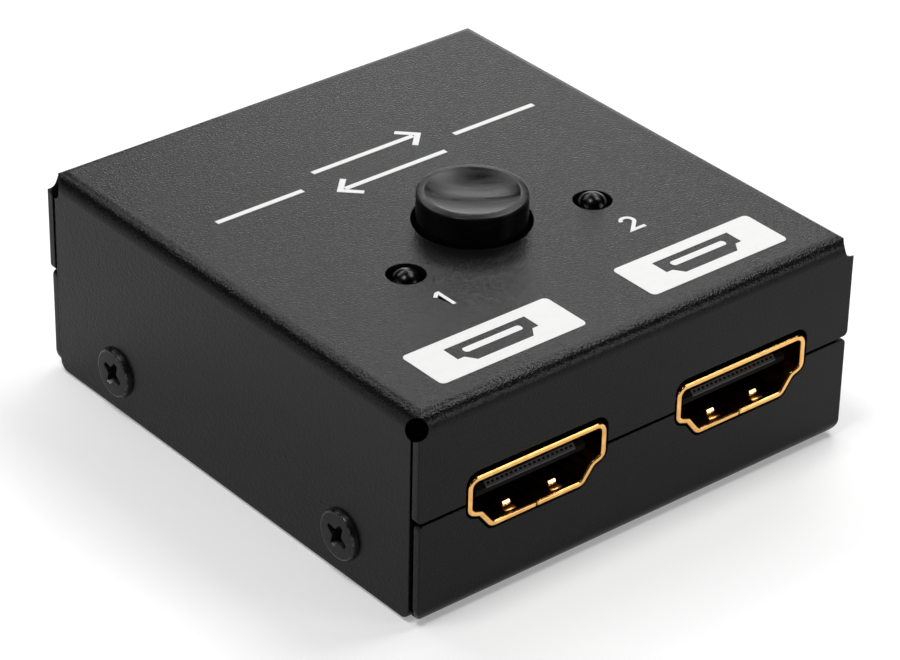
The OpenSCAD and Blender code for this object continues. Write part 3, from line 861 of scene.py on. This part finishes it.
inner_finishes = {
    board_lacquer: ("circuit_board",),
    bright_steel: ("board_standoffs", "board_screws", "switch_spring"),
    contact_gold: ("port_contacts_1", "port_contacts_2", "port_contacts_common", "switch_wipers"),
    tinned_metal: ("switch_terminals", "led_1_leads", "led_2_leads", "chip_leads"),
    black_plastic: ("switch_base", "switch_housing"),
    white_plastic: ("switch_plunger",),
    chip_black: ("signal_chip", "chip_resistors"),
    capacitor_tan: ("chip_capacitors",),
}
for finish, nodes in inner_finishes.items():
    for node in nodes:
        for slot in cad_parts[node].material_slots:
            slot.material = finish
    print(finish.name, "on", len(nodes), "inner pieces")

# %% [markdown]
# White ink is screen printed on the top: a number beside each indicator, a sign of two opposite arrows
# behind the button, and a label above each front socket with the socket's outline left out of the white.
# The ink lies thinly on the sandy coat, so its surface is a little uneven and matt. One even white would
# look like cut paper, so its colour varies slowly.


# %% White ink
def make_ink():
    finish, tree, shader = new_finish("print_ink_white", {"IOR": 1.45})
    sand = speckles(tree, size_mm=0.16, detail=3)
    age = speckles(tree, size_mm=1.2)
    connect(tree, shader,
            Base_Color=tint(tree, age, (0.745, 0.745, 0.74), (0.775, 0.775, 0.77)),
            Roughness=spread(tree, age, 0.5, 0.6),
            Normal=relief(tree, sand, depth_mm=0.004))
    return finish


print_ink = make_ink()
print("finish:", print_ink.name)

# %% [markdown]
# Print can be painted in the coat's own graph, but as thin solid shapes it keeps razor-sharp edges. Each
# shape is a flat curve with a slight thickness: inner outlines become holes by themselves. Two helpers draw
# outlines, a stroke of even width along a line and a box with round corners. The others turn outlines into
# a piece of ink on the plate.

# %% Print helpers
ink_height = 0.02
plate_top = cover_high.z / MM
sharpest_miter = 0.3


def stroke(points, width):
    left, right = [], []
    for k, point in enumerate(points):
        before = Vector(points[max(k - 1, 0)])
        after = Vector(points[min(k + 1, len(points) - 1)])
        here = Vector(point)
        inward = (here - before).normalized() if k else (after - here).normalized()
        onward = (after - here).normalized() if k < len(points) - 1 else inward
        normal = Vector((-inward.y - onward.y, inward.x + onward.x)).normalized()
        reach = width / 2 / max(normal.dot(Vector((-inward.y, inward.x))), sharpest_miter)
        left.append(here + normal * reach)
        right.append(here - normal * reach)
    return left + right[::-1]


def rounded_box(middle, width, height, radius, steps=5):
    points = []
    for sx, sy, start in ((1, 1, 0), (-1, 1, 90), (-1, -1, 180), (1, -1, 270)):
        corner = (middle[0] + sx * (width / 2 - radius), middle[1] + sy * (height / 2 - radius))
        points += arc(corner, radius, start, start + 90, steps)
    return points


def ink_piece(name, curve):
    mesh = read_back(add_object(name + "_outline", curve))
    mesh.transform(Matrix.Translation((0, 0, (plate_top + ink_height / 2) * MM)))
    mesh.materials.clear()
    stand_in(name, mesh, "case", print_ink, "white_plastic")


def print_shape(name, *outlines):
    curve = bpy.data.curves.new(name, "CURVE")
    curve.dimensions = "2D"
    curve.fill_mode = "BOTH"
    curve.extrude = ink_height / 2 * MM
    for outline in outlines:
        spline = curve.splines.new("POLY")
        spline.points.add(len(outline) - 1)
        for spot, (x, y) in zip(spline.points, outline):
            spot.co = (x * MM, y * MM, 0, 1)
        spline.use_cyclic_u = True
    ink_piece(name, curve)


print("ink", ink_height, "mm thick on the plate at", round(plate_top, 2), "mm")

# %% [markdown]
# A number stands in front of each indicator and tells which socket it belongs to. A text object would need a
# typeface. Two plain strokes do without one, and the round head of the second number is an arc.

# %% Numbers beside the indicators
number_line = 0.36
number_y = -12.55
one = [(-0.55, 0.55), (-0.05, 1.02), (0.12, 1.02), (0.12, -1.2)]
two = arc((0, 0.44), 0.6, 165, -38, steps=12) + [(-0.68, -1.02), (0.78, -1.02)]
for name, number_x, line in (("one", -10.5, one), ("two", 10.4, two)):
    placed = [(number_x + x, number_y + y) for x, y in line]
    print_shape("print_number_" + name, stroke(placed, number_line))
print("numbers with lines of", number_line, "mm")

# %% [markdown]
# Two opposite arrows behind the button say that the signal may run both ways, with a short rule on either
# side. A shaft and a bent stroke make an arrow. One outline for both would cross itself, so each stroke is a
# shape of its own.

# %% Two opposite arrows behind the button
arrow_y = 9.4
arrow_line = 0.55
arrow_half = 6.0
arrow_gap = 2.0
barb = 1.5
rule_inner = 8.6
rule_outer = 18.0


def arrow(name, direction, y):
    tip = arrow_half * direction
    barb_x = tip - direction * barb
    shaft = [(-tip, y), (tip - direction * arrow_line, y)]
    head = [(barb_x, y + barb), (tip, y), (barb_x, y - barb)]
    print_shape(name + "_shaft", stroke(shaft, arrow_line))
    print_shape(name + "_head", stroke(head, arrow_line))


arrow("print_arrow_right", 1, arrow_y + arrow_gap)
arrow("print_arrow_left", -1, arrow_y - arrow_gap)
for side, name in ((-1, "left"), (1, "right")):
    rule = [(rule_inner * side, arrow_y), (rule_outer * side, arrow_y)]
    print_shape("print_rule_" + name, stroke(rule, arrow_line))
print("arrows at", arrow_y, "mm behind the middle")

# %% [markdown]
# A white label above each front socket shows the socket's outline in black, with the tongue in white. The
# black could be printed on the white, but on the real plate it is the coat itself that shows. So the outline
# is a hole in the label, and the tongue is an island in the hole.

# %% Labels above the front sockets
label_x = 11.5
label_y = -20.3
label_width = 15.6
label_height = 5.4
label_corner = 0.5
sign_scale = 0.62
sign_half = ((4.8, -2.3), (5.9, -0.75), (7, -0.75), (7, 2.3))
tongue_width = 10
tongue_height = 1.2
tongue_up = 0.3
tongue_corner = 0.3


def socket_sign(middle):
    corners = [(-x, y) for x, y in reversed(sign_half)] + list(sign_half)
    return [(middle[0] + x * sign_scale, middle[1] + y * sign_scale) for x, y in corners]


for name, x in (("left", -label_x), ("right", label_x)):
    sheet = rounded_box((x, label_y), label_width, label_height, label_corner)
    tongue = rounded_box((x, label_y + tongue_up), tongue_width * sign_scale, tongue_height * sign_scale,
                         tongue_corner)
    print_shape("print_label_" + name, sheet, socket_sign((x, label_y)), tongue)
print("labels", label_width, "by", label_height, "mm over the sockets")

# %% [markdown]
# The box stands on a wide white floor. The floor's white is partly its own glow, for the camera, in mirrors
# and through glass, and partly light that falls on it, so the shadow stays. Light alone could make it white,
# but then the pale ink would be too bright.

# %% White floor
floor_half = 6.0
floor_paint = 0.8
floor_glow = 0.28


def shown_rays(tree):
    path = add_node(tree, "LightPath", {}).outputs
    rays = {0: path["Is Glossy Ray"], 1: path["Is Transmission Ray"]}
    mirrored = add_node(tree, "Math", rays, operation="MAXIMUM").outputs["Value"]
    return path["Is Camera Ray"], mirrored


def make_floor_white():
    finish = bpy.data.materials.new("floor_white")
    finish.use_nodes = True
    tree = finish.node_tree
    tree.nodes.clear()
    seen, mirrored = shown_rays(tree)
    shown = add_node(tree, "Math", {0: seen, 1: mirrored}, operation="MAXIMUM").outputs["Value"]
    glow = add_node(tree, "Math", {0: shown, 1: floor_glow}, operation="MULTIPLY").outputs["Value"]
    white = (floor_paint, floor_paint, floor_paint, 1)
    paint = add_node(tree, "BsdfDiffuse", {"Color": white}).outputs["BSDF"]
    light = add_node(tree, "Emission", {"Strength": glow}).outputs["Emission"]
    both = add_node(tree, "AddShader", {0: paint, 1: light}).outputs["Shader"]
    add_node(tree, "OutputMaterial", {"Surface": both})
    return finish


floor_mesh = bpy.data.meshes.new("floor")
corners = [(x * floor_half, y * floor_half, 0) for x, y in ((-1, -1), (1, -1), (1, 1), (-1, 1))]
floor_mesh.from_pydata(corners, [], [(0, 1, 2, 3)])
floor_mesh.materials.append(make_floor_white())
floor = add_object("floor", floor_mesh)
print("floor", floor_half * 2, "m wide")

# %% [markdown]
# The sky is white for the camera too. Mirrors find it white only near the horizon, like a low backdrop: a
# whole white dome would be mirrored by every face and wash out the black coat.

# %% Sky
sky_white = 0.9
backdrop_top = 0.12
backdrop_fade = 0.18


def make_sky():
    sky = bpy.data.worlds.new("studio")
    sky.use_nodes = True
    tree = sky.node_tree
    seen, mirrored = shown_rays(tree)
    way = add_node(tree, "TexCoord", {}).outputs["Generated"]
    height = add_node(tree, "SeparateXYZ", {"Vector": way}).outputs["Z"]
    low = spread(tree, height, 1, 0, backdrop_top, backdrop_fade)
    backdrop = add_node(tree, "Math", {0: mirrored, 1: low}, operation="MULTIPLY").outputs["Value"]
    shown = add_node(tree, "Math", {0: seen, 1: backdrop}, operation="MAXIMUM").outputs["Value"]
    tree.nodes["Background"].inputs["Color"].default_value = (sky_white, sky_white, sky_white, 1)
    tree.links.new(shown, tree.nodes["Background"].inputs["Strength"])
    return sky


bpy.context.scene.world = make_sky()
bpy.context.scene.view_settings.view_transform = "Standard"
print("sky:", bpy.context.scene.world.name)

# %% [markdown]
# Soft panels stand round the box, all at the same distance. A black coat shows little of its own colour:
# each face shows what stands in its mirror direction, so every panel has a task. The flat top mirrors the
# low panels behind the box. The bends mirror the high ones on the right, behind and on the left, one after
# the other. The front mirrors the low one on the right, and a long one on the left draws the screws' rims.
# One large sky could light the box too, but then the bends would fade into the faces beside them. A panel's
# line gives its turn and rise in degrees, its width and height in metres, and its watts.

# %% Lamps
box_middle = Vector((0, 0, 0.012))
lamp_distance = 0.6


def panel_lamp(name, turn, rise, width, height, watts):
    lamp = bpy.data.lights.new(name, "AREA")
    lamp.shape = "RECTANGLE"
    lamp.size = width
    lamp.size_y = height
    lamp.energy = watts
    turn, rise = math.radians(turn), math.radians(rise)
    way = Vector((math.cos(turn) * math.cos(rise), math.sin(turn) * math.cos(rise), math.sin(rise)))
    stand = add_object(name, lamp)
    stand.location = box_middle + way * lamp_distance
    stand.rotation_euler = way.to_track_quat("Z", "Y").to_euler()


lamps = (
    ("lamp_overhead", 180, 75, 0.16, 0.16, 1.32),
    ("lamp_right_high", 350, 60, 0.20, 0.20, 1.09),
    ("lamp_back_right", 28, 48, 0.20, 0.20, 0.81),
    ("lamp_back_left", 74, 47, 0.20, 0.20, 0.48),
    ("lamp_left_high", 100, 49, 0.20, 0.20, 0.52),
    ("lamp_left_low", 150, 18, 0.20, 0.20, 0.17),
    ("lamp_back_strip", 50, 33, 0.17, 0.10, 0.29),
    ("lamp_back_low", 42, 12, 0.42, 0.20, 0.43),
    ("lamp_right_low", 304, 22, 0.20, 0.20, 0.54),
    ("lamp_screws", 178, 28, 0.40, 0.10, 0.36),
)
for lamp in lamps:
    panel_lamp(*lamp)
print("lamps:", len(lamps))
